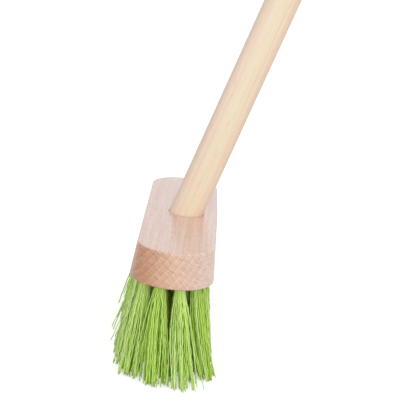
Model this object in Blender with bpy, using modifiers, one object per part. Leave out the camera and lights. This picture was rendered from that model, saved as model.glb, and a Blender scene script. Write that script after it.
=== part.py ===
# A child's broom: a wooden head with half-round ends, a round handle that leans out of a blind
# socket in its top, and four rows of tufts, each packed into its own drilled hole. The outer
# rows follow the half-round ends.
# Metres, +Z up. The origin is the middle of the sweeping face, where the trimmed tips end.
# Y runs along the head and X across it, and the handle leans towards +X.

import math
import random

import bmesh
import bpy
from mathutils import Matrix, Vector

# The head, measured at its underside, which is its widest level
HEAD_LENGTH = 0.205
HEAD_WIDTH = 0.0525
HEAD_THICKNESS = 0.022
HEAD_TAPER = 0.0025
HEAD_ROUNDING = 0.001
HEAD_END_FACETS = 24

# The handle and the socket it stands in
HANDLE_RADIUS = 0.011
HANDLE_LENGTH = 0.75
HANDLE_LEAN = math.radians(17.2)
HANDLE_ENTRY = 0.0037
HANDLE_CROWN = 0.008
HANDLE_FOOT_CHAMFER = 0.001
HANDLE_FACETS = 32
CROWN_STEPS = 6
SOCKET_CLEARANCE = 0.0003
SOCKET_FLOOR = 0.0015

# The tuft holes
TUFT_ROWS = 4
TUFT_PITCH = 0.015
TUFT_RIM_MARGIN = 0.00825
TUFT_HOLE_RADIUS = 0.00325
TUFT_HOLE_DEPTH = 0.007
TUFT_HOLE_FACETS = 12
TUFT_CLEARANCE = 0.0003
TUFT_RECESS = 0.0005

# The strands: a tuft flares from its root, and the outer tufts splay away from the middle
STRANDS_PER_TUFT = 8
STRAND_GAP = 0.0006
STRAND_TIP_SCALE = 0.85
BRISTLE_LENGTH = 0.062
BRISTLE_TRIM = 0.0005
BEND_SHARE = 0.45
BEND_POWER = 0.8
FLARE_SHARE = 1.8
SPLAY_ACROSS = 0.005
SPLAY_ALONG = 0.006
STRAND_RAGGEDNESS = 0.0004
STRAND_SEED = 7

BEECH = (0.745, 0.546, 0.376)
PALE_DOWEL = (0.823, 0.652, 0.451)
LEAF_GREEN = (0.342, 0.503, 0.102)

# Where the pieces meet
HEAD_TOP = BRISTLE_LENGTH + HEAD_THICKNESS
END_RADIUS = HEAD_WIDTH / 2
HALF_STRAIGHT = (HEAD_LENGTH - HEAD_WIDTH) / 2
SOCKET_RADIUS = HANDLE_RADIUS + SOCKET_CLEARANCE
SOCKET_DROP = SOCKET_RADIUS * math.sin(HANDLE_LEAN)
SOCKET_REACH = HEAD_THICKNESS - TUFT_HOLE_DEPTH - SOCKET_FLOOR - SOCKET_DROP
SOCKET_DEPTH = SOCKET_REACH / math.cos(HANDLE_LEAN)
HANDLE_AXIS = Vector((math.sin(HANDLE_LEAN), 0, math.cos(HANDLE_LEAN)))
SOCKET_MOUTH = Vector((HANDLE_ENTRY, 0, HEAD_TOP))
OUTER_ROW = END_RADIUS - TUFT_RIM_MARGIN
ROW_STEP = 2 * OUTER_ROW / (TUFT_ROWS - 1)
STEP_TURN = 2 * math.asin(ROW_STEP / (2 * OUTER_ROW))
OUTER_BEND = math.acos(1 - ROW_STEP / OUTER_ROW) - STEP_TURN


def clear_scene():
    for obj in list(bpy.data.objects):
        bpy.data.objects.remove(obj, do_unlink=True)


def make_collection(name):
    collection = bpy.data.collections.new(name)
    bpy.context.scene.collection.children.link(collection)
    return collection


def make_material(name, color, roughness):
    material = bpy.data.materials.new(name)
    material.use_nodes = True
    shader = material.node_tree.nodes["Principled BSDF"]
    shader.inputs["Base Color"].default_value = (*color, 1)
    shader.inputs["Roughness"].default_value = roughness
    shader.inputs["Metallic"].default_value = 0
    material.diffuse_color = (*color, 1)
    return material


def add_object(name, bm, collection, parent=None):
    mesh = bpy.data.meshes.new(name)
    bmesh.ops.recalc_face_normals(bm, faces=bm.faces)
    bm.to_mesh(mesh)
    bm.free()
    obj = bpy.data.objects.new(name, mesh)
    obj.parent = parent
    collection.objects.link(obj)
    return obj


def add_cylinder(bm, radius, low, high, facets, center=(0, 0)):
    middle = Matrix.Translation((*center, (low + high) / 2))
    bmesh.ops.create_cone(
        bm, cap_ends=True, segments=facets, radius1=radius, radius2=radius,
        depth=high - low, matrix=middle,
    )


def hide_cutter(obj):
    obj.display_type = "WIRE"
    obj.hide_render = True


def shade_round(mesh):
    mesh.shade_smooth()
    mesh.set_sharp_from_angle(angle=math.radians(30))


def cut(obj, cutter):
    boolean = obj.modifiers.new("Cut by " + cutter.name, "BOOLEAN")
    boolean.operation = "DIFFERENCE"
    boolean.solver = "EXACT"
    boolean.object = cutter


# An outer row runs straight to the half-round end, and then bends in with it.
def outer_place(side, run):
    turn = max(abs(run) - HALF_STRAIGHT, 0) / OUTER_ROW
    y = min(abs(run), HALF_STRAIGHT) + OUTER_ROW * math.sin(turn)
    return side * OUTER_ROW * math.cos(turn), math.copysign(y, run)


# Rows lie evenly between the rims. An inner row's last hole keeps the rim margin to the
# half-round end, and an outer row's last hole is one row step from its neighbour's. The holes
# of a row share its length at nearly the chosen pitch.
def tuft_places():
    places = []
    for row in range(TUFT_ROWS):
        x = OUTER_ROW * (2 * row / (TUFT_ROWS - 1) - 1)
        outer = row in (0, TUFT_ROWS - 1)
        if outer:
            reach = HALF_STRAIGHT + OUTER_ROW * OUTER_BEND
        else:
            reach = HALF_STRAIGHT + math.sqrt(OUTER_ROW ** 2 - x ** 2)
        gaps = max(round(2 * reach / TUFT_PITCH), 1)
        for index in range(gaps + 1):
            run = reach * (2 * index / gaps - 1)
            spot = outer_place(math.copysign(1, x), run) if outer else (x, run)
            places.append((row + 1, index + 1, *spot))
    return places


# One half of the head is half of a tapered disc, drawn out to the middle and then mirrored.
def make_head(collection, parent, material):
    bm = bmesh.new()
    bmesh.ops.create_cone(
        bm, cap_ends=True, segments=2 * HEAD_END_FACETS, radius1=END_RADIUS,
        radius2=END_RADIUS - HEAD_TAPER, depth=HEAD_THICKNESS,
    )
    bmesh.ops.bisect_plane(
        bm, geom=bm.verts[:] + bm.edges[:] + bm.faces[:], dist=0.000001,
        plane_co=(0, 0, 0), plane_no=(0, -1, 0), clear_outer=True,
    )
    bmesh.ops.translate(bm, verts=bm.verts, vec=(0, HALF_STRAIGHT, 0))
    rim = [edge for edge in bm.edges if edge.is_boundary]
    drawn = bmesh.ops.extrude_edge_only(bm, edges=rim)["geom"]
    for item in drawn:
        if isinstance(item, bmesh.types.BMVert):
            item.co.y = 0
    bmesh.ops.dissolve_limit(bm, angle_limit=math.radians(1), verts=bm.verts, edges=bm.edges)
    head = add_object("head", bm, collection, parent)
    head.location.z = BRISTLE_LENGTH + HEAD_THICKNESS / 2
    head.data.materials.append(material)
    shade_round(head.data)
    mirror = head.modifiers.new("Other half", "MIRROR")
    mirror.use_axis = (False, True, False)
    mirror.merge_threshold = 0.0001
    rounding = head.modifiers.new("Rounded edges", "BEVEL")
    rounding.width = HEAD_ROUNDING
    rounding.segments = 2
    rounding.limit_method = "ANGLE"
    rounding.angle_limit = math.radians(40)
    return head


# The socket cutter's own floor is square to the handle, and it runs out through the top.
def make_socket_cutter(collection):
    bm = bmesh.new()
    past_mouth = 2 * SOCKET_DROP + HEAD_ROUNDING
    add_cylinder(bm, SOCKET_RADIUS, -SOCKET_DEPTH, past_mouth, HANDLE_FACETS)
    cutter = add_object("socket_cutter", bm, collection)
    cutter.location = SOCKET_MOUTH
    cutter.rotation_euler.y = HANDLE_LEAN
    hide_cutter(cutter)
    return cutter


def make_hole_cutter(collection, places):
    bm = bmesh.new()
    for _, _, x, y in places:
        add_cylinder(
            bm, TUFT_HOLE_RADIUS, BRISTLE_LENGTH - TUFT_RECESS - HEAD_ROUNDING,
            BRISTLE_LENGTH + TUFT_HOLE_DEPTH, TUFT_HOLE_FACETS, (x, y),
        )
    cutter = add_object("tuft_hole_cutter", bm, collection)
    hide_cutter(cutter)
    return cutter


# The handle is turned: a domed crown, a straight shaft and a chamfered foot.
def handle_profile():
    shoulder = HANDLE_LENGTH - HANDLE_CROWN
    points = []
    for step in range(CROWN_STEPS + 1):
        angle = math.pi / 2 * step / CROWN_STEPS
        points.append((HANDLE_RADIUS * math.sin(angle), shoulder + HANDLE_CROWN * math.cos(angle)))
    points.append((HANDLE_RADIUS, HANDLE_FOOT_CHAMFER))
    points.append((HANDLE_RADIUS - HANDLE_FOOT_CHAMFER, 0))
    points.append((0, 0))
    return points


def make_handle(collection, parent, material):
    bm = bmesh.new()
    verts = [bm.verts.new((radius, 0, height)) for radius, height in handle_profile()]
    for upper, lower in zip(verts, verts[1:]):
        bm.edges.new((upper, lower))
    handle = add_object("handle", bm, collection, parent)
    handle.location = SOCKET_MOUTH - HANDLE_AXIS * (SOCKET_DEPTH - SOCKET_CLEARANCE)
    handle.rotation_euler.y = HANDLE_LEAN
    handle.data.materials.append(material)
    turning = handle.modifiers.new("Turned", "SCREW")
    turning.steps = HANDLE_FACETS
    turning.render_steps = HANDLE_FACETS
    turning.use_merge_vertices = True
    turning.merge_threshold = 0.00001
    turning.use_smooth_shade = True
    return handle


# How far a strand's tip stands from the point straight below its root. It grows steadily
# with the root's own place, so neighbours only move apart and no two strands cross.
def tip_shift(tuft_x, tuft_y, root, rng):
    across = SPLAY_ACROSS * tuft_x / OUTER_ROW
    along = SPLAY_ALONG * tuft_y / (HALF_STRAIGHT + OUTER_ROW)
    ragged = Vector((rng.uniform(-1, 1), rng.uniform(-1, 1))) * STRAND_RAGGEDNESS
    return Vector((across, along)) + FLARE_SHARE * root.xy + ragged


def grow_strand(bm, face, tuft_x, tuft_y, rng):
    root = face.calc_center_median()
    shift = tip_shift(tuft_x, tuft_y, root, rng)
    for share in (BEND_SHARE, 1):
        face = bmesh.ops.extrude_discrete_faces(bm, faces=[face])["faces"][0]
        bend = shift * share ** BEND_POWER
        fall = share * (BRISTLE_LENGTH + BRISTLE_TRIM)
        target = Vector((root.x + bend.x, root.y + bend.y, -fall))
        now = face.calc_center_median()
        thin = 1 + (STRAND_TIP_SCALE - 1) * share
        for vert in face.verts:
            from_center = vert.co - now
            vert.co = target + from_center * thin


# Runs past the sweeping face are cut off there, so that every tip ends flat on the floor.
def trim_tips(bm):
    trimmed = bmesh.ops.bisect_plane(
        bm, geom=bm.verts[:] + bm.edges[:] + bm.faces[:], plane_co=(0, 0, -BRISTLE_LENGTH),
        plane_no=(0, 0, -1), clear_outer=True,
    )["geom_cut"]
    open_edges = [item for item in trimmed if isinstance(item, bmesh.types.BMEdge)]
    bmesh.ops.holes_fill(bm, edges=open_edges, sides=3)


# A tuft's packed root fills its hole. Its lower face is poked into wedges, one for each
# strand, and each wedge is inset and drawn down to the sweeping face.
def make_tuft(name, tuft_x, tuft_y, collection, parent, material, rng):
    bm = bmesh.new()
    root_radius = TUFT_HOLE_RADIUS * math.cos(math.pi / TUFT_HOLE_FACETS) - TUFT_CLEARANCE
    root_top = TUFT_HOLE_DEPTH - TUFT_CLEARANCE
    add_cylinder(bm, root_radius, TUFT_RECESS, root_top, STRANDS_PER_TUFT)
    lower_face = min(bm.faces, key=lambda face: face.calc_center_median().z)
    wedges = bmesh.ops.poke(bm, faces=[lower_face])["faces"]
    bmesh.ops.inset_individual(bm, faces=wedges, thickness=STRAND_GAP / 2, use_even_offset=True)
    for wedge in wedges:
        grow_strand(bm, wedge, tuft_x, tuft_y, rng)
    trim_tips(bm)
    tuft = add_object(name, bm, collection, parent)
    tuft.location = (tuft_x, tuft_y, BRISTLE_LENGTH)
    tuft.data.materials.append(material)
    return tuft


def build_broom():
    clear_scene()
    parts = make_collection("childrens_broom")
    cutters = make_collection("cutters")
    broom = bpy.data.objects.new("broom", None)
    parts.objects.link(broom)
    places = tuft_places()
    head = make_head(parts, broom, make_material("beech_head", BEECH, 0.45))
    cut(head, make_socket_cutter(cutters))
    cut(head, make_hole_cutter(cutters, places))
    make_handle(parts, broom, make_material("dowel_handle", PALE_DOWEL, 0.5))
    bristle = make_material("green_bristle", LEAF_GREEN, 0.45)
    rng = random.Random(STRAND_SEED)
    for row, index, x, y in places:
        make_tuft(f"tuft_{row}_{index:02d}", x, y, parts, broom, bristle, rng)
    print(len(places), "tufts with", len(places) * STRANDS_PER_TUFT, "strands")


build_broom()
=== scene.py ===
import math

import bpy
import numpy as np
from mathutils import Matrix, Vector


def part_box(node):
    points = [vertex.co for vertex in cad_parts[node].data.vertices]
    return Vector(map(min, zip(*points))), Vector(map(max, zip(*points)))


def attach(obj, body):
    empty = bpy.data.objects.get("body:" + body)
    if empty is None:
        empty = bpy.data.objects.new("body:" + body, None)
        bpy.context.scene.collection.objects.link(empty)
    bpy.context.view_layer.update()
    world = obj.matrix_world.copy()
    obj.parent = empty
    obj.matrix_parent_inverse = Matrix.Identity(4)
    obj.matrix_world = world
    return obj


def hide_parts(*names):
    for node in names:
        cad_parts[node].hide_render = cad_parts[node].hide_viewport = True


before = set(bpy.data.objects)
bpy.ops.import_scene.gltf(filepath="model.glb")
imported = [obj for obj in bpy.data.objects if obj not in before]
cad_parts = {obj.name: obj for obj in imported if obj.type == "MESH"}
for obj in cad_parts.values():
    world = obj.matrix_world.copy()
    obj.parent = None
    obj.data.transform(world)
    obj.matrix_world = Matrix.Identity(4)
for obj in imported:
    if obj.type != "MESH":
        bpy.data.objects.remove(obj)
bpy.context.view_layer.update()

# A child's broom with a beech head, a pine handle and green bristle, on a white floor.
# Metres, +Z up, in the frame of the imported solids, whose origin is under the head's middle.


# colour and node helpers

# a colour Mix node's sockets, which go by number because several share a name
mixShare, mixUnder, mixOver, mixOut = 0, 6, 7, 2


def toLinear(hexColour):
    # each sRGB part is raised to 2.4 after its offset, or divided by 12.92 near black
    parts = np.array([int(hexColour[i:i + 2], 16) for i in (1, 3, 5)]) / 255
    linear = np.where(parts <= 0.04045, parts / 12.92, ((parts + 0.055) / 1.055) ** 2.4)
    return (*linear.tolist(), 1.0)


def addNode(tree, kind, inputs=None, **settings):
    # an input that is given as a socket is linked, and any other is set as a value
    node = tree.nodes.new(kind)
    for name, value in settings.items():
        setattr(node, name, value)
    for socket, value in (inputs or {}).items():
        if isinstance(value, bpy.types.NodeSocket):
            tree.links.new(value, node.inputs[socket])
        else:
            node.inputs[socket].default_value = value
    return node


def newMaterial(name):
    # a material with its node tree and its one shader
    material = bpy.data.materials.new(name)
    material.use_nodes = True
    tree = material.node_tree
    return material, tree, tree.nodes["Principled BSDF"]


def setRamp(ramp, stops):
    # each stop is a place from 0 to 1 and its colour
    elements = ramp.color_ramp.elements
    while len(elements) < len(stops):
        elements.new(0.5)
    for element, (place, hexColour) in zip(elements, stops):
        element.position = place
        element.color = toLinear(hexColour)


# helpers for the grain of wood

def swayPlace(tree, place, noisePlace, scale, reach):
    # the place moves by the noise's colour, less one half, times the reach
    sway = addNode(tree, "ShaderNodeTexNoise", {"Vector": noisePlace, "Scale": scale})
    centred = addNode(tree, "ShaderNodeVectorMath", {0: sway.outputs["Color"], 1: (0.5, 0.5, 0.5)},
                      operation="SUBTRACT")
    swayed = addNode(tree, "ShaderNodeVectorMath", {0: centred.outputs[0], 1: reach, 2: place},
                     operation="MULTIPLY_ADD")
    return swayed.outputs[0]


def ringTint(tree, distance, spacing, stops):
    # how far the distance has got into its ring, from 0 to 1, picks the tint
    ringCount = addNode(tree, "ShaderNodeMath", {0: distance, 1: spacing}, operation="DIVIDE")
    ringShare = addNode(tree, "ShaderNodeMath", {0: ringCount.outputs[0]}, operation="FRACT")
    tint = addNode(tree, "ShaderNodeValToRGB", {"Fac": ringShare.outputs[0]})
    setRamp(tint, stops)
    return tint.outputs["Color"]


def layGrain(tree, under, share, place, size, stops, detail=1.0, turn=(0, 0, 0)):
    # noise stretched to a feature size in metres picks a tint, and the tint multiplies the colour
    # under it by the share; gives back the noise and the new colour
    stretched = addNode(tree, "ShaderNodeMapping", {"Vector": place, "Rotation": turn,
                                                    "Scale": size}, vector_type="TEXTURE")
    noise = addNode(tree, "ShaderNodeTexNoise", {"Vector": stretched.outputs[0], "Scale": 1.0,
                                                 "Detail": detail})
    tint = addNode(tree, "ShaderNodeValToRGB", {"Fac": noise.outputs["Fac"]})
    setRamp(tint, stops)
    laid = addNode(tree, "ShaderNodeMix", {mixShare: share, mixUnder: under,
                                           mixOver: tint.outputs["Color"]},
                   data_type="RGBA", blend_type="MULTIPLY")
    return noise.outputs["Fac"], laid.outputs[mixOut]


def fadeOut(tree, distance, share, farthest, least):
    # the share holds at a distance of 0, and falls to its least part at the farthest
    fade = addNode(tree, "ShaderNodeMapRange", {"Value": distance, "From Min": 0.0,
                                                "From Max": farthest, "To Min": 1.0,
                                                "To Max": least})
    faded = addNode(tree, "ShaderNodeMath", {0: fade.outputs["Result"], 1: share},
                    operation="MULTIPLY")
    return faded.outputs[0]


# mesh helpers

sharpAngle = math.radians(32)   # wooden edges that turn by more than this stay crisp


def meshFromArrays(name, points, faces, smooth=True):
    # points in any grid are laid out as one list, which the faces' numbers count along
    mesh = bpy.data.meshes.new(name)
    mesh.from_pydata(points.reshape(-1, 3).tolist(), [], faces)
    mesh.validate()
    if smooth:
        mesh.shade_smooth()
    piece = bpy.data.objects.new(name, mesh)
    bpy.context.scene.collection.objects.link(piece)
    return piece


def gridFaces(rows, columns):
    # quads between neighbouring rows, and the last column joins the first
    row = np.arange(rows - 1)[:, None]
    column = np.arange(columns)[None, :]
    following = (column + 1) % columns
    corners = (row * columns + column, row * columns + following,
               (row + 1) * columns + following, (row + 1) * columns + column)
    return np.stack(corners, -1).reshape(-1, 4)


def finishPiece(piece, material, slotName, *nodes):
    # the piece takes its material and the place of the solids it stands for
    piece.data.materials.clear()
    piece.data.materials.append(material)
    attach(piece, "root")
    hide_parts(*nodes)


# the camera, where the photograph was taken from

cameraLook = {
    "place": (0.01016, -0.84980, 0.30982),
    "turnDegrees": (75.624, -6.655, 1.590),
    "lens": 117.9,
    "sensor": 36.0,
    "nearest": 0.01,
    "farthest": 100,
}


def setCamera(look):
    # a long lens, aimed by three turns, with no shift and everything sharp
    data = bpy.data.cameras.new("studioCamera")
    data.lens = look["lens"]
    data.sensor_width = look["sensor"]
    data.clip_start = look["nearest"]
    data.clip_end = look["farthest"]
    camera = bpy.data.objects.new("studioCamera", data)
    camera.location = look["place"]
    camera.rotation_euler = [math.radians(angle) for angle in look["turnDegrees"]]
    bpy.context.scene.collection.objects.link(camera)
    bpy.context.scene.camera = camera


setCamera(cameraLook)
print("camera set")


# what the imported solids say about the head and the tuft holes

headLow, headHigh = (np.array(corner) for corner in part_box("head"))
headUnder, headTop = headLow[2], headHigh[2]
# a root's points lie over this far above the head's underside, a tip's this near the floor
planeMargin = 0.001


def nodePoints(name):
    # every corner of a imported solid, one row each
    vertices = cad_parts[name].data.vertices
    points = np.empty(len(vertices) * 3)
    vertices.foreach_get("co", points)
    return points.reshape(-1, 3)


def tuftLayout():
    # a hole's centre is the middle of its tuft's root, and the tuft's splay is from there to the
    # middle of its tips
    layout = {}
    for name in sorted(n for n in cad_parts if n.startswith("tuft_")):
        points = nodePoints(name)
        root = points[points[:, 2] > headUnder + planeMargin]
        tips = points[points[:, 2] < planeMargin]
        rootMiddle = (root.min(0) + root.max(0))[:2] / 2
        tipMiddle = (tips.min(0) + tips.max(0))[:2] / 2
        layout[name] = (rootMiddle, tipMiddle - rootMiddle)
    return layout


tufts = tuftLayout()
print(len(tufts), "tuft holes read from the frame")


# the head: a stadium outline carried up a profile with rounded rims, then drilled

headLook = {
    "endSteps": 96,         # points round each half-round end
    "sideSteps": 24,        # points along each straight side
    "taper": 0.0025,        # each side leans in by this much from bottom to top
    "taperRows": 4,         # rows of points between the two rims
    "rimRadius": 0.0011,
    "rimSteps": 6,
    "holeRadius": 0.00325,
    "holeDepth": 0.007,
    "holeFacets": 28,
    "holeOvercut": 0.002,   # the drill starts this far outside the wood
}


def stadium(radius, halfStraight, endSteps, sideSteps):
    # half circles about (0, +-halfStraight) joined by straight sides, anticlockwise from +X,
    # one outline for each radius
    arc = np.linspace(0, math.pi, endSteps)
    farX, farY = radius[:, None] * np.cos(arc), halfStraight + radius[:, None] * np.sin(arc)
    downY = np.linspace(halfStraight, -halfStraight, sideSteps + 2)[1:-1]
    sideX = np.repeat(radius[:, None], sideSteps, 1)
    sideY = np.repeat(downY[None], len(radius), 0)
    x = np.concatenate([farX, -sideX, -farX, sideX], 1)
    y = np.concatenate([farY, sideY, -farY, -sideY], 1)
    return x, y


def headProfile(look):
    # inset from the widest outline against height: a quarter round, the tapered side and a
    # quarter round
    rim = look["rimRadius"]
    turn = np.linspace(0, math.pi / 2, look["rimSteps"])
    lower = np.stack([rim * (1 - np.sin(turn)), rim * (1 - np.cos(turn))], -1)
    upper = np.stack([rim * (1 - np.cos(turn)) + look["taper"],
                      headTop - headUnder - rim * (1 - np.sin(turn))], -1)
    side = np.linspace(lower[-1], upper[0], look["taperRows"] + 2)[1:-1]
    return np.concatenate([lower, side, upper])


def makeHead(look):
    # each point of the profile draws the outline in by its inset and lifts it by its height, and
    # a flat face closes each end
    halfWidth = (headHigh[0] - headLow[0]) / 2
    halfStraight = (headHigh[1] - headLow[1]) / 2 - halfWidth
    inset, height = headProfile(look).T
    x, y = stadium(halfWidth - inset, halfStraight, look["endSteps"], look["sideSteps"])
    points = np.stack([x, y, np.broadcast_to(headUnder + height[:, None], x.shape)], -1)
    rows, columns = x.shape
    faces = gridFaces(rows, columns).tolist()
    faces.append(list(range(columns))[::-1])
    faces.append([(rows - 1) * columns + i for i in range(columns)])
    return meshFromArrays("beechHead", points, faces)


def cylinderArrays(radius, base, axis, length, facets):
    # a ring square to the axis at each end: base + radius * (cosine * across + sine * other)
    axis = np.array(axis) / np.linalg.norm(axis)
    across = np.cross(axis, (0, 1, 0))
    across /= np.linalg.norm(across)
    other = np.cross(axis, across)
    turn = np.linspace(0, 2 * math.pi, facets, endpoint=False)[:, None]
    ring = radius * (np.cos(turn) * across + np.sin(turn) * other)
    low = np.array(base) + ring
    points = np.stack([low, low + axis * length])
    faces = gridFaces(2, facets).tolist()
    faces.append(list(range(facets))[::-1])
    faces.append([facets + i for i in range(facets)])
    return points, faces


def joinArrays(parts):
    # one list of points, with each part's faces counted on from the points before it
    points, faces, start = [], [], 0
    for partPoints, partFaces in parts:
        flat = partPoints.reshape(-1, 3)
        points.append(flat)
        faces += [[start + corner for corner in face] for face in partFaces]
        start += len(flat)
    return np.concatenate(points), faces


handleLook = {
    "radius": 0.011,
    "leanDegrees": 17.2,
    "entry": 0.0037,        # where its axis crosses the head's top
    "length": 0.75,
    "crown": 0.008,         # height of the domed end
    "crownSteps": 14,
    "shaftRows": 60,
    "footChamfer": 0.001,
    "facets": 96,
    "socketDepth": 0.0107,
    "socketFacets": 64,
    "socketOvercut": 0.01,
    "clearance": 0.0003,    # between the foot and its socket
}
handleLean = math.radians(handleLook["leanDegrees"])
handleAxis = np.array([math.sin(handleLean), 0, math.cos(handleLean)])
socketMouth = np.array([handleLook["entry"], 0, headTop])


def cutAway(piece, cutterArrays):
    # all the cutters are taken from the piece in one exact boolean
    points, faces = joinArrays(cutterArrays)
    cutter = meshFromArrays("cutter", points, faces, smooth=False)
    boolean = piece.modifiers.new("cut", "BOOLEAN")
    boolean.operation = "DIFFERENCE"
    boolean.solver = "EXACT"
    boolean.object = cutter
    depsgraph = bpy.context.evaluated_depsgraph_get()
    cutMesh = bpy.data.meshes.new_from_object(piece.evaluated_get(depsgraph))
    piece.modifiers.clear()
    piece.data = cutMesh
    bpy.data.objects.remove(cutter)


beechHead = makeHead(headLook)
holes = [cylinderArrays(headLook["holeRadius"], (*root, headUnder - headLook["holeOvercut"]),
                        (0, 0, 1), headLook["holeDepth"] + headLook["holeOvercut"],
                        headLook["holeFacets"])
         for root, _ in tufts.values()]
socketFloor = socketMouth - handleAxis * handleLook["socketDepth"]
socket = cylinderArrays(handleLook["radius"] + handleLook["clearance"], socketFloor, handleAxis,
                        handleLook["socketDepth"] + handleLook["socketOvercut"],
                        handleLook["socketFacets"])
cutAway(beechHead, holes + [socket])
beechHead.data.shade_smooth()
beechHead.data.set_sharp_from_angle(angle=sharpAngle)
print("head cut,", len(beechHead.data.polygons), "faces")


# the handle: a turned profile carried round its leaning axis

def makeHandle(look):
    # the profile is a chamfered foot, a straight shaft and a quarter ellipse, as radius against
    # height, and goes round as base + height * axis + radius * (cosine * across + sine * other)
    crownTurn = np.linspace(0, math.pi / 2, look["crownSteps"])
    crown = np.stack([look["radius"] * np.sin(crownTurn),
                      look["length"] - look["crown"] * (1 - np.cos(crownTurn))], -1)
    shaftHeight = np.linspace(look["length"] - look["crown"], look["footChamfer"],
                              look["shaftRows"] + 2)[1:-1]
    shaft = np.stack([np.full(look["shaftRows"], look["radius"]), shaftHeight], -1)
    foot = np.array([[look["radius"], look["footChamfer"]],
                     [look["radius"] - look["footChamfer"], 0]])
    profile = np.concatenate([crown[1:], shaft, foot])[::-1]
    turn = np.linspace(0, 2 * math.pi, look["facets"], endpoint=False)
    across = np.array([math.cos(handleLean), 0, -math.sin(handleLean)])
    other = np.array([0.0, 1.0, 0.0])
    base = socketMouth - handleAxis * (look["socketDepth"] - look["clearance"])
    around = np.cos(turn)[:, None] * across + np.sin(turn)[:, None] * other
    points = base + profile[:, None, 1:] * handleAxis + profile[:, None, :1] * around[None]
    rings, facets = points.shape[:2]
    top = base + handleAxis * look["length"]
    points = np.concatenate([points.reshape(-1, 3), base[None], top[None]])
    # a fan of triangles closes the foot, and another the top
    baseIndex, topIndex = rings * facets, rings * facets + 1
    index = np.arange(facets)
    following, last = (index + 1) % facets, (rings - 1) * facets
    footFan = np.stack([np.full(facets, baseIndex), following, index], -1)
    crownFan = np.stack([np.full(facets, topIndex), last + index, last + following], -1)
    faces = gridFaces(rings, facets).tolist() + footFan.tolist() + crownFan.tolist()
    return meshFromArrays("dowelHandle", points, faces)


dowelHandle = makeHandle(handleLook)
dowelHandle.data.set_sharp_from_angle(angle=sharpAngle)
print("handle turned")


# the bristle: each tuft is a bundle of crimped fibres that spreads out of its hole

fibreLook = {
    "seed": 32,
    "perTuft": 100,
    "radius": 0.00046,      # drawn rather thicker than real fibre, so that it shows
    "radiusVary": (0.8, 1.15),
    "tipShare": 0.88,       # the tip's width as a share of the root's
    "sides": 3,
    "segments": 18,
    "rootRing": 0.0026,     # radius of a tuft in its hole
    "tipRing": 0.0084,      # and where it meets the floor
    "spreadPower": 1.5,     # a tuft spreads rather sooner than in proportion
    "inHole": 0.004,        # how far up its hole a fibre is drawn
    # places along the head, and how far use has bent the tufts there across it
    "setPlaces": (-0.093, -0.076, -0.045, 0.0, 0.09),
    "setAcross": (0.0045, 0.0035, -0.0015, -0.0029, -0.0042),
    "innerRows": 0.01,      # the inner rows' roots are within this of the middle
    "innerLean": 0.0025,    # and the two lean this much towards each other
    # how the tufts at the near end lean and spread, and the painted light and shade that each is
    # given: the left-hand tufts are paled by a painted backlit veil, tuft_3_01 lightened as lit and
    # tuft_4_01 darkened as in its shadow
    "frontLean": {"tuft_1_01": (-0.004, 0.0), "tuft_1_02": (-0.002, 0.001),
                  "tuft_1_03": (-0.002, 0.001), "tuft_2_01": (-0.0035, 0.001),
                  "tuft_3_01": (0.004, -0.004), "tuft_4_01": (0.006, 0.007),
                  "tuft_2_02": (0.0035, 0.0), "tuft_3_02": (-0.002, -0.001),
                  "tuft_4_02": (0.001, 0.0)},
    "frontSpread": {"tuft_1_01": 0.95, "tuft_2_01": 1.4, "tuft_3_01": 1.35, "tuft_4_01": 0.7},
    "frontLightAndShade": {"tuft_1_01": 0.08, "tuft_1_02": 0.12, "tuft_1_03": 0.2, "tuft_1_04": 0.14,
                  "tuft_2_01": -0.06, "tuft_3_01": 0.1, "tuft_3_02": -0.06,
                  "tuft_4_01": -0.1, "tuft_4_02": 0.02, "tuft_4_03": 0.12},
    "tuftSway": 0.001,
    "leanPower": 1.15,      # a tuft leans rather later than in proportion
    "keepPlace": 0.7,       # share of a tip's place that comes from its root's place
    "crossing": 0.4,        # and from chance, so that fibres cross inside a tuft
    "locks": 9,             # fibres of a tuft cling together in this many locks
    "lockReach": (0.85, 1.12),
    "lockPull": 0.6,        # how far a fibre is drawn to its lock
    "pullVary": (0.5, 1.2),
    "pullPower": 1.6,
    "floorGap": 0.0002,
    "lockRise": 0.0016,     # how far above that a lock's tips may end
    "lockRisePower": 1.5,
    "tipRise": 0.0018,      # and a single tip above its lock's
    "tipRisePower": 2,
    "stray": 0.0008,
    "strayPower": 1.5,
    # past this to -X, and between these places along the head, more fibres stick out
    "strayPast": -0.012,
    "strayBetween": (-0.07, 0.06),
    "strayShare": (0.13, 0.004),
    "strayReach": (0.003, 0.009),
    "bow": 0.0010,
    "crimp": 0.00034,
    "crimpLength": 0.0085,
    "crimpVary": (0.85, 1.2),
    "crimpStart": 8,        # the crimp is full after one part in this many of the way down
    "phaseSpread": 0.6,     # how far a fibre's crimp is out of step with its lock's, in radians
    # what chance, the lock and painted shade by the place in the tuft add to a fibre's paleness
    "toneShares": (0.2, 0.2, 0.6),
}
rng = np.random.default_rng(fibreLook["seed"])
anyTurn = 6.28  # radians, the most that a chance turn comes to
goldenAngle = math.pi * (3 - math.sqrt(5))


def onCircle(turn):
    # the cosine and sine of each turn
    return np.stack([np.cos(turn), np.sin(turn)], -1)


def spiral(count):
    # each point is a golden angle on from the last, and as far out as the square root of its
    # share of the count, so that the points fill a unit disc evenly
    index = np.arange(count) + 0.5
    turn = index * goldenAngle + rng.uniform(0, anyTurn)
    return onCircle(turn), np.sqrt(index / count)


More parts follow.
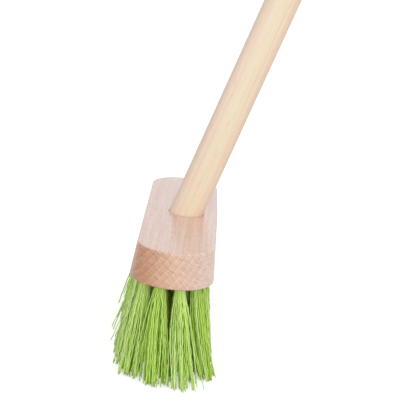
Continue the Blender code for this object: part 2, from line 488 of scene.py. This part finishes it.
def fibrePaths(root, shift, spreadShare, look):
    # a path's place across is root + shift * lean + target * ring, plus what makes it wander
    count, segments = look["perTuft"], look["segments"]
    direction, reach = spiral(count)
    place = direction * reach[:, None]
    lockDirection, lockReach = spiral(look["locks"])
    lockReach = lockReach * rng.uniform(*look["lockReach"], look["locks"])
    lockPlace = lockDirection * lockReach[:, None]
    # a tip stands partly where its root's place puts it and partly at random
    chance = onCircle(rng.uniform(0, anyTurn, count))
    chance = chance * np.sqrt(rng.uniform(0, 1, count))[:, None]
    tipPlace = place * look["keepPlace"] + chance * look["crossing"]
    lock = np.linalg.norm(tipPlace[:, None] - lockPlace[None], axis=-1).argmin(1)
    # height falls evenly from inside the hole to the tip
    lockRise = look["lockRise"] * rng.uniform(0, 1, look["locks"])[lock] ** look["lockRisePower"]
    tipRise = look["tipRise"] * rng.uniform(0, 1, count) ** look["tipRisePower"]
    tipHeight = lockRise + tipRise + look["floorGap"]
    top = headUnder + look["inHole"]
    height = top + (tipHeight[:, None] - top) * np.linspace(0, 1, segments + 1)
    below = np.clip((headUnder - height) / headUnder, 0, 1)
    # a fibre goes over to its tip's place as the tuft spreads, and is drawn to its lock lower down
    ownPull = look["lockPull"] * rng.uniform(*look["pullVary"], (count, 1))
    pull = ownPull * below ** look["pullPower"]
    going = place[:, None] + (tipPlace - place)[:, None] * below[..., None]
    target = going + (lockPlace[lock][:, None] - going) * pull[..., None]
    spread = 1 - (1 - below) ** look["spreadPower"]
    ring = look["rootRing"] + (look["tipRing"] * spreadShare - look["rootRing"]) * spread
    lean = below ** look["leanPower"]
    across = root + shift * lean[..., None] + target * ring[..., None]
    # some stick out, and all wander a little
    outer, inner = look["strayShare"]
    strayLow, strayHigh = look["strayBetween"]
    sticksOut = root[0] < look["strayPast"] and strayLow < root[1] < strayHigh
    outward = np.where(rng.uniform(0, 1, count) < (outer if sticksOut else inner),
                       rng.uniform(*look["strayReach"], count), 0)
    wander = rng.normal(0, look["stray"], (count, 2)) + place * outward[:, None]
    across = across + wander[:, None] * (below ** look["strayPower"])[..., None]
    # a slow bow, and a crimp whose phase a lock mostly shares
    bowTurn, crimpTurn = rng.uniform(0, anyTurn, (2, count, 1))
    bow = rng.normal(0, look["bow"], (count, 1)) * np.sin(below * math.pi)
    lockPhase = rng.uniform(0, anyTurn, look["locks"])[lock]
    phase = lockPhase + rng.normal(0, look["phaseSpread"], count)
    wave = look["crimpLength"] * rng.uniform(*look["crimpVary"], (count, 1))
    crimp = look["crimp"] * np.sin((headUnder - height) / wave * 2 * math.pi + phase[:, None])
    crimp = crimp * np.clip(below * look["crimpStart"], 0, 1)
    across = across + (bow[..., None] * onCircle(bowTurn) + crimp[..., None] * onCircle(crimpTurn))
    # fibres inside a tuft get painted shade, so that they are darker and deeper green than the
    # paler ones outside it
    ownTone, lockTone, paintedDepthShade = look["toneShares"]
    tone = (ownTone * rng.uniform(0, 1, count)
            + lockTone * rng.uniform(0, 1, look["locks"])[lock]
            + paintedDepthShade * np.linalg.norm(tipPlace, axis=-1))
    return np.concatenate([across, height[..., None]], -1), below, tone


def makeTuft(tuftName, root, splay, look):
    # each fibre is a tube: a level ring round each point of its path, narrowing towards the tip,
    # and a flat cap at both ends
    bent = np.interp(root[1], look["setPlaces"], look["setAcross"])
    inward = -np.sign(root[0]) * look["innerLean"] if abs(root[0]) < look["innerRows"] else 0
    nudge = look["frontLean"].get(tuftName, (0, 0))
    shift = splay + (bent + inward, 0) + nudge + rng.normal(0, look["tuftSway"], 2)
    spreadShare = look["frontSpread"].get(tuftName, 1)
    centres, below, fibreToneAndShade = fibrePaths(root, shift, spreadShare, look)
    count, rings = centres.shape[:2]
    sides = look["sides"]
    # each fibre is turned by its own angle
    turn = (np.linspace(0, 2 * math.pi, sides, endpoint=False)
            + rng.uniform(0, anyTurn, (count, 1)))
    narrowing = 1 - (1 - look["tipShare"]) * below
    width = look["radius"] * narrowing * rng.uniform(*look["radiusVary"], (count, 1))
    ring = np.stack([np.cos(turn), np.sin(turn), np.zeros_like(turn)], -1)
    points = centres[:, :, None] + ring[:, None] * width[..., None, None]
    strip = gridFaces(rings, sides)[:, ::-1]
    start = (np.arange(count) * rings * sides)[:, None, None]
    walls = (strip[None] + start).reshape(-1, 4)
    rootCap = np.arange(sides)[None] + start[:, 0]
    tipCap = np.arange(sides)[::-1][None] + (rings - 1) * sides + start[:, 0]
    faces = walls.tolist() + rootCap.tolist() + tipCap.tolist()
    piece = meshFromArrays(tuftName.replace("tuft", "fibres"), points, faces)
    # the material reads how pale a fibre is, its painted light and shade included, and how far down
    # it each point lies
    tone = np.clip(fibreToneAndShade + look["frontLightAndShade"].get(tuftName, 0), 0, 1)
    toneValues = piece.data.attributes.new("fibreToneAndShade", "FLOAT", "POINT")
    toneValues.data.foreach_set("value", np.repeat(tone, rings * sides))
    runValues = piece.data.attributes.new("fibreRun", "FLOAT", "POINT")
    runValues.data.foreach_set("value", np.repeat(below.reshape(-1), sides))
    return piece


bristle = {tuftName: makeTuft(tuftName, root, splay, fibreLook)
           for tuftName, (root, splay) in tufts.items()}
print("bristle grown,", sum(len(piece.data.polygons) for piece in bristle.values()), "faces")


# Sanded, waxed beech. Growth rings are thin pale lines in the end grain, each fading to darker wood
# behind it, and rays cross them as fine pinkish flecks. Wax gives the grazed top a white bloom.

beechLook = {
    "swayScale": 60.0,              # the grain wanders once in some 17 mm
    "sway": (0.0014, 0.0, 0.0014),  # by 0.7 mm to each side
    "sideShare": 0.22,              # how much of the end grain's figure the long sides show
    "pith": (-0.1315, 0.1635),      # the rings' centre, as X and Z
    "ringSpacing": 0.0039,
    "ringStart": 0.1492,            # from this far from the pith on, rings and rays fade
    "ringFade": (0.03, 0.4),        # this much further on, rings show this much
    "rayFade": (0.026, 0.65),       # and rays this much
    "heartAndShadeEdge": (-0.004, 0.042),   # from here to here the darker heart wood, deepened by painted shade, pales across the head into paler wood and a painted bloom
    "heartAndShadeLean": 0.3,               # and pales this much sooner with height
    "rayMiddle": 0.072,             # rays point to the pith from this height, mid-head
    "raySize": (0.006, 0.003, 0.0004),
    "vesselSize": (0.0006, 0.007, 0.0006),
    "streakSize": (0.002, 0.09, 0.002),
    "sandedRoughness": 0.64,
    "waxPolish": 0.32,              # what a full coat of wax takes off the roughness
}


def beechMaterial(look):
    # heart wood with its painted shade and bloom, rings, rays, vessels and streaks each tint the
    # colour, and wax sets the gloss
    material, tree, shader = newMaterial("sandedWaxedBeech")
    coordinates = addNode(tree, "ShaderNodeTexCoord")
    place = coordinates.outputs["Object"]
    # the end grain faces +-Y, and shows rings and rays best
    facing = addNode(tree, "ShaderNodeSeparateXYZ", {0: coordinates.outputs["Normal"]})
    endOn = addNode(tree, "ShaderNodeMath", {0: facing.outputs["Y"]}, operation="ABSOLUTE")
    endShare = addNode(tree, "ShaderNodeMapRange", {"Value": endOn.outputs[0], "From Min": 0.05,
                                                    "From Max": 0.5, "To Min": look["sideShare"]})
    endGrain = endShare.outputs["Result"]
    swayed = swayPlace(tree, place, place, look["swayScale"], look["sway"])
    # the darker heart wood doesn't follow the rings; towards -X it is deepened by painted shade
    # where the round end turns from the light, and towards +X it pales into paler wood and a
    # painted bloom
    acrossHeartAndShade = addNode(tree, "ShaderNodeVectorMath", {0: swayed, 1: (1, 0, look["heartAndShadeLean"])},
                        operation="DOT_PRODUCT")
    darkest, palest = look["heartAndShadeEdge"]
    heartAndShadeBand = addNode(tree, "ShaderNodeMapRange", {"Value": acrossHeartAndShade.outputs["Value"],
                                                "From Min": darkest, "From Max": palest})
    heartAndShadeColour = addNode(tree, "ShaderNodeValToRGB", {"Fac": heartAndShadeBand.outputs["Result"]})
    setRamp(heartAndShadeColour, [(0.0, "#cb9677"), (0.2, "#d5a481"), (0.4, "#e1bca0"), (0.65, "#e6c8b4"),
                         (1.0, "#e9d4c8")])
    evened = addNode(tree, "ShaderNodeMix", {mixShare: endGrain, mixUnder: toLinear("#e7cac1"),
                                             mixOver: heartAndShadeColour.outputs["Color"]},
                     data_type="RGBA")
    # rings 3.9 mm apart, round the pith
    pithX, pithZ = look["pith"]
    fromPith = addNode(tree, "ShaderNodeVectorMath", {0: swayed, 1: (pithX, 0, pithZ)},
                       operation="SUBTRACT")
    flat = addNode(tree, "ShaderNodeVectorMath", {0: fromPith.outputs[0], 1: (1, 0, 1)},
                   operation="MULTIPLY")
    reach = addNode(tree, "ShaderNodeVectorMath", {0: flat.outputs[0]}, operation="LENGTH")
    beyond = addNode(tree, "ShaderNodeMath", {0: reach.outputs["Value"], 1: look["ringStart"]},
                     operation="SUBTRACT")
    ringTone = ringTint(tree, beyond.outputs[0], look["ringSpacing"],
                        [(0.0, "#ffffff"), (0.09, "#ffffff"), (0.17, "#f4efec"), (0.6, "#f0e8e2"),
                         (0.96, "#eaddd3"), (1.0, "#ffffff")])
    ringShown = fadeOut(tree, beyond.outputs[0], endGrain, *look["ringFade"])
    rings = addNode(tree, "ShaderNodeMix", {mixShare: ringShown,
                                            mixUnder: evened.outputs[mixOut], mixOver: ringTone},
                    data_type="RGBA", blend_type="MULTIPLY")
    # rays as wide as beech's broadest, 0.4 mm, 6 mm long towards the pith and 3 mm along the grain
    rayTurn = math.atan2(pithZ - look["rayMiddle"], -pithX)
    rayShown = fadeOut(tree, beyond.outputs[0], endGrain, *look["rayFade"])
    _, withRays = layGrain(tree, rings.outputs[mixOut], rayShown, place, look["raySize"],
                           [(0.42, "#ffffff"), (0.54, "#f7ece6"), (0.68, "#e2c8bc")],
                           turn=(0, rayTurn, 0))
    # vessels: drawn 0.6 mm across and 7 mm long, coarser than the real ones so they show
    vesselShare = addNode(tree, "ShaderNodeMapRange", {"Value": endGrain, "To Min": 0.8,
                                                       "To Max": 0.3})
    vessels, withVessels = layGrain(tree, withRays, vesselShare.outputs["Result"], place,
                                    look["vesselSize"],
                                    [(0.30, "#dac3b4"), (0.46, "#f5ede8"), (0.65, "#ffffff")],
                                    detail=3.0)
    # broader streaks, 2 mm across and 90 mm long, which the end grain hardly shows
    streakShare = addNode(tree, "ShaderNodeMapRange", {"Value": endGrain,
                                                       "From Min": look["sideShare"],
                                                       "To Min": 0.9, "To Max": 0.15})
    _, withStreaks = layGrain(tree, withVessels, streakShare.outputs["Result"], swayed,
                              look["streakSize"], [(0.35, "#efe2d9"), (0.65, "#ffffff")])
    tree.links.new(withStreaks, shader.inputs["Base Color"])
    # the flat top is planed and rubbed, and holds more wax than the sides, which are only sanded
    rubbed = addNode(tree, "ShaderNodeMapRange", {"Value": facing.outputs["Z"], "From Min": 0.3,
                                                  "From Max": 0.8, "To Min": 0.3, "To Max": 1.0})
    tree.links.new(rubbed.outputs["Result"], shader.inputs["Coat Weight"])
    # vessels are a little rougher than the wood between them
    pored = addNode(tree, "ShaderNodeMapRange", {"Value": vessels, "To Min": 0.08,
                                                 "To Max": -0.08})
    gloss = addNode(tree, "ShaderNodeMath", {0: rubbed.outputs["Result"], 1: -look["waxPolish"],
                                             2: pored.outputs["Result"]},
                    operation="MULTIPLY_ADD")
    roughness = addNode(tree, "ShaderNodeMath", {0: gloss.outputs[0], 1: look["sandedRoughness"]},
                        operation="ADD")
    tree.links.new(roughness.outputs[0], shader.inputs["Roughness"])
    grain = addNode(tree, "ShaderNodeBump", {"Height": vessels, "Strength": 0.4,
                                             "Distance": 0.0001})
    tree.links.new(grain.outputs["Normal"], shader.inputs["Normal"])
    shader.inputs["Coat Roughness"].default_value = 0.33
    shader.inputs["Coat IOR"].default_value = 2.0
    return material


# A pine dowel, turned and sanded. Its rings lie flat to the front, so they run as thin darker lines
# down its two flanks, and leave the middle plain and creamy. The flanks' pinker, darker edges are
# painted shade and sheen, and the paler bands just inside them painted light.

dowelLook = {
    "swaySize": (0.02, 0.02, 0.12),     # the grain wanders once in 20 mm across and 120 mm along
    "sway": (0.002, 0.004, 0.0),        # by 1 mm and 2 mm to each side
    "ringSpacing": 0.0024,
    "lineSize": (0.0009, 0.0009, 0.06),
    "lineShare": 0.32,
    "canalSize": (0.0007, 0.0007, 0.009),
    "canalShare": 0.45,
}


def dowelMaterial(look):
    # painted light and shade across the flanks, rings, grain lines and resin canals each tint the
    # colour
    material, tree, shader = newMaterial("turnedSandedPine")
    place = addNode(tree, "ShaderNodeTexCoord").outputs["Object"]
    # Z runs along the dowel, and X and Y across it
    along = addNode(tree, "ShaderNodeMapping", {"Vector": place, "Location": tuple(socketMouth),
                                                "Rotation": (0, handleLean, 0)},
                    vector_type="TEXTURE")
    stretched = addNode(tree, "ShaderNodeMapping", {"Vector": along.outputs[0],
                                                    "Scale": look["swaySize"]},
                        vector_type="TEXTURE")
    swayed = swayPlace(tree, along.outputs[0], stretched.outputs[0], 1.0, look["sway"])
    depth = addNode(tree, "ShaderNodeSeparateXYZ", {0: swayed})
    ringTone = ringTint(tree, depth.outputs["Y"], look["ringSpacing"],
                        [(0.0, "#faf1ea"), (0.08, "#ffffff"), (0.5, "#ffffff"), (0.88, "#fefbf8"),
                         (1.0, "#faf1ea")])
    # across the front, the creamy middle is the wood's own colour, while the flanks carry painted
    # shade and sheen at their edges and painted light just inside them
    flank = addNode(tree, "ShaderNodeMapRange", {"Value": depth.outputs["X"],
                                                 "From Min": -handleLook["radius"],
                                                 "From Max": handleLook["radius"]})
    flankLightAndShade = addNode(tree, "ShaderNodeValToRGB", {"Fac": flank.outputs["Result"]})
    setRamp(flankLightAndShade, [(0.03, "#eddbc9"), (0.14, "#f5dfcb"), (0.27, "#f2e0ca"), (0.42, "#eedfc4"),
                        (0.60, "#eedfc4"), (0.75, "#f3e0c8"), (0.88, "#f3dac0"), (1.0, "#edd6c2")])
    ringed = addNode(tree, "ShaderNodeMix", {mixShare: 1.0, mixUnder: flankLightAndShade.outputs["Color"],
                                             mixOver: ringTone},
                     data_type="RGBA", blend_type="MULTIPLY")
    # fine grain lines 0.9 mm wide that run some 60 mm before they fade
    lines, withLines = layGrain(tree, ringed.outputs[mixOut], look["lineShare"], swayed,
                                look["lineSize"],
                                [(0.28, "#efdfcb"), (0.44, "#faf4ec"), (0.6, "#ffffff")],
                                detail=3.0)
    # few, darker resin canals, drawn 0.7 mm across and 9 mm long, coarser than real so they show
    _, withCanals = layGrain(tree, withLines, look["canalShare"], swayed, look["canalSize"],
                             [(0.22, "#d0b48c"), (0.34, "#ffffff")])
    tree.links.new(withCanals, shader.inputs["Base Color"])
    gloss = addNode(tree, "ShaderNodeMapRange", {"Value": lines, "To Min": 0.68, "To Max": 0.58})
    tree.links.new(gloss.outputs["Result"], shader.inputs["Roughness"])
    grain = addNode(tree, "ShaderNodeBump", {"Height": lines, "Strength": 0.2,
                                             "Distance": 0.0001})
    tree.links.new(grain.outputs["Normal"], shader.inputs["Normal"])
    shader.inputs["Specular IOR Level"].default_value = 0.3
    # sanding leaves a faint nap, which shows at a grazing angle
    shader.inputs["Sheen Weight"].default_value = 0.2
    shader.inputs["Sheen Roughness"].default_value = 0.5
    shader.inputs["Sheen Tint"].default_value = toLinear("#f2ccd2")
    return material


# Drawn and crimped polypropylene fibre, dyed through. Each fibre has its own shade of green,
# deepened by painted shade inside its tuft; painted light and shade along it stand for its crimp
# catching the light by turns, and it has a soft gloss.

dyeLook = {
    "patches": 14.0,    # painted light and shade of the crimp: a fibre pales and deepens about this often, which is every 4.4 mm
    "apart": 97.0,      # sets the patches of fibres of unlike tone apart
    "crimpLightShare": 0.4,
}


def fibreMaterial(look):
    # a fibre's tone, which carries painted shade and light, picks its shade of green, and patches
    # of painted crimp light and shade along its run dull it
    material, tree, shader = newMaterial("crimpedPolypropylene")
    tone = addNode(tree, "ShaderNodeAttribute", attribute_name="fibreToneAndShade")
    shade = addNode(tree, "ShaderNodeValToRGB", {"Fac": tone.outputs["Fac"]})
    setRamp(shade, [(0.0, "#91be14"), (0.4, "#b8e23c"), (0.7, "#d5f57c"), (1.0, "#ebffb6")])
    run = addNode(tree, "ShaderNodeAttribute", attribute_name="fibreRun")
    along = addNode(tree, "ShaderNodeMath", {0: tone.outputs["Fac"], 1: look["apart"],
                                             2: run.outputs["Fac"]}, operation="MULTIPLY_ADD")
    # painted light and shade along each fibre, standing for its crimp catching the light
    patches = addNode(tree, "ShaderNodeTexNoise", {"W": along.outputs[0],
                                                   "Scale": look["patches"], "Detail": 1.0},
                      noise_dimensions="1D")
    crimpLightAndShade = addNode(tree, "ShaderNodeValToRGB", {"Fac": patches.outputs["Fac"]})
    setRamp(crimpLightAndShade, [(0.3, "#dfe6cf"), (0.6, "#ffffff")])
    colour = addNode(tree, "ShaderNodeMix", {mixShare: look["crimpLightShare"],
                                             mixUnder: shade.outputs["Color"],
                                             mixOver: crimpLightAndShade.outputs["Color"]},
                     data_type="RGBA", blend_type="MULTIPLY")
    tree.links.new(colour.outputs[mixOut], shader.inputs["Base Color"])
    shader.inputs["Roughness"].default_value = 0.4
    shader.inputs["Specular IOR Level"].default_value = 0.85
    return material


finishPiece(beechHead, beechMaterial(beechLook), "head_wood", "head")
finishPiece(dowelHandle, dowelMaterial(dowelLook), "handle_wood", "handle")
greenFibre = fibreMaterial(dyeLook)
for tuftName, piece in bristle.items():
    finishPiece(piece, greenFibre, "bristle", tuftName)
print("materials set")


# the studio: a white floor that keeps a soft shadow, a white surround and two soft lamps

studioLook = {
    "floorHalf": 12.0,
    "floorColour": "#e6e6e6",
    "floorGlow": 0.55,
    "worldLevel": 0.6,
    "aim": (0.03, -0.02, 0.10),
    "keyPlace": (0.25, -1.8, 1.4),
    "keySize": 2.8,
    "keyPower": 28.5,
    "sidePlace": (1.3, 0.5, 1.5),
    "sideSize": 1.4,
    "sidePower": 4.0,
}
white = (1, 1, 1, 1)


def seenOrMirrored(tree):
    # 1 for the camera's rays and for glossy ones, and 0 for the rest
    path = addNode(tree, "ShaderNodeLightPath")
    seen = addNode(tree, "ShaderNodeMath", {0: path.outputs["Is Camera Ray"],
                                            1: path.outputs["Is Glossy Ray"]},
                   operation="MAXIMUM")
    return path, seen.outputs[0]


def makeFloor(look):
    # matt painted board, so that it shows nothing but a soft shadow; its glow brings it up to
    # white for the camera and in gloss, and gives no other light
    half = look["floorHalf"]
    corners = np.array([[-half, -half, 0], [half, -half, 0], [half, half, 0], [-half, half, 0]])
    floor = meshFromArrays("studioFloor", corners, [[0, 1, 2, 3]], smooth=False)
    material, tree, shader = newMaterial("paintedWhiteFloor")
    shader.inputs["Base Color"].default_value = toLinear(look["floorColour"])
    shader.inputs["Roughness"].default_value = 0.9
    shader.inputs["Specular IOR Level"].default_value = 0.1
    _, seen = seenOrMirrored(tree)
    glow = addNode(tree, "ShaderNodeMath", {0: seen, 1: look["floorGlow"]},
                   operation="MULTIPLY")
    shader.inputs["Emission Color"].default_value = white
    tree.links.new(glow.outputs[0], shader.inputs["Emission Strength"])
    floor.data.materials.append(material)


def makeWorld(look):
    # full white to the camera, in gloss and through glass, and a plain lower level as light
    world = bpy.data.worlds.new("whiteStudio")
    world.use_nodes = True
    bpy.context.scene.world = world
    tree = world.node_tree
    background = tree.nodes["Background"]
    background.inputs["Color"].default_value = white
    path, seen = seenOrMirrored(tree)
    clear = addNode(tree, "ShaderNodeMath", {0: seen, 1: path.outputs["Is Transmission Ray"]},
                    operation="MAXIMUM")
    level = addNode(tree, "ShaderNodeMapRange", {"Value": clear.outputs[0],
                                                 "To Min": look["worldLevel"], "To Max": 1.0})
    tree.links.new(level.outputs["Result"], background.inputs["Strength"])


def addLamp(name, place, size, power, aim):
    # a lamp shines along its own -Z: tilted from straight down, then turned to the aim
    data = bpy.data.lights.new(name, "AREA")
    data.shape = "DISK"
    data.size = size
    data.energy = power
    lamp = bpy.data.objects.new(name, data)
    lamp.location = place
    dx, dy, dz = np.array(aim) - np.array(place)
    lamp.rotation_euler = (math.atan2(math.hypot(dx, dy), -dz), 0, math.atan2(-dx, dy))
    bpy.context.scene.collection.objects.link(lamp)


makeFloor(studioLook)
makeWorld(studioLook)
for lampName in ("key", "side"):
    addLamp(lampName + "Lamp", studioLook[lampName + "Place"], studioLook[lampName + "Size"],
            studioLook[lampName + "Power"], studioLook["aim"])
bpy.context.scene.view_settings.view_transform = "Standard"
print("studio lit")
